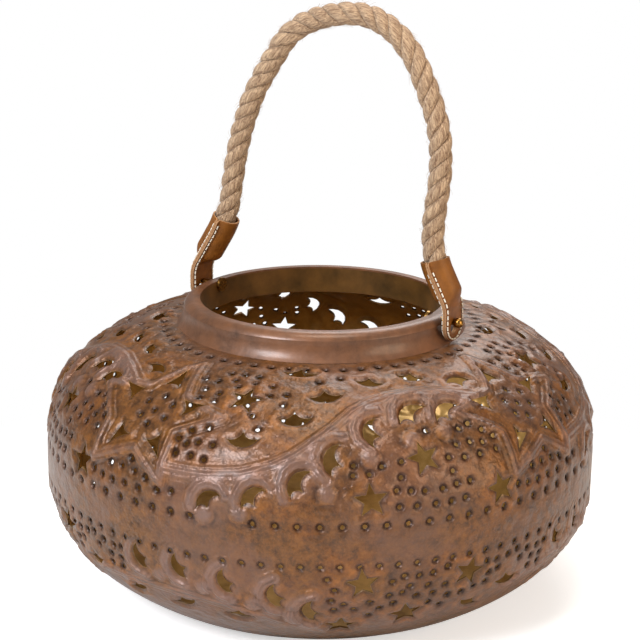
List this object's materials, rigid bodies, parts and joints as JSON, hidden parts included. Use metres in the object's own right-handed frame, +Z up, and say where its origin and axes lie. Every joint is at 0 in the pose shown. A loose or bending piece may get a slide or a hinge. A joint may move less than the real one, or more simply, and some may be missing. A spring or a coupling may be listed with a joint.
{
  "type": "lantern",
  "caption": "Squat round punched tin lantern with pierced stars and leaves, an open flared neck, and a hinged rope handle held by leather tabs on ball studs",
  "frame": {"origin": "Middle of the flat base, on the surface that the lantern stands on.", "axes": "+Z is up along the body's axis. +X runs through both ball studs, along the handle's hinge line. +Y completes the right-handed frame."},
  "size_m": [0.35, 0.35, 0.3638],
  "materials": {
    "tin_shell": "rust brown lacquered tin, satin",
    "tin_dark": "dark worn edge",
    "tin_neck": "rust brown lacquered tin with a soft sheen",
    "stud_brass": "aged brass",
    "screw_brass": "browned brass",
    "tab_leather": "caramel vegetable-tanned leather with raw edges",
    "thread": "cream waxed thread",
    "jute_rope": "pale three-strand jute rope"
  },
  "bodies": {
    "lantern": {"upper_shell": "tin_shell", "lower_shell": "tin_shell", "foot_ring": "tin_dark", "neck_collar": "tin_neck", "neck_sleeve": "tin_neck", "right_ball_stud": "stud_brass", "left_ball_stud": "stud_brass", "right_stud_screw": "screw_brass", "left_stud_screw": "screw_brass"},
    "handle": {"handle_rope": "jute_rope", "right_tab_outer": "tab_leather", "right_tab_inner": "tab_leather", "left_tab_outer": "tab_leather", "left_tab_inner": "tab_leather", "right_tab_stitching": "thread", "left_tab_stitching": "thread"}
  },
  "joints": [
    {"name": "handle_hinge", "type": "hinge", "parent": "lantern", "child": "handle", "pos_m": [0, 0, 0.1756], "axis": [1, 0, 0], "range_deg": [-54, 54]}
  ]
}
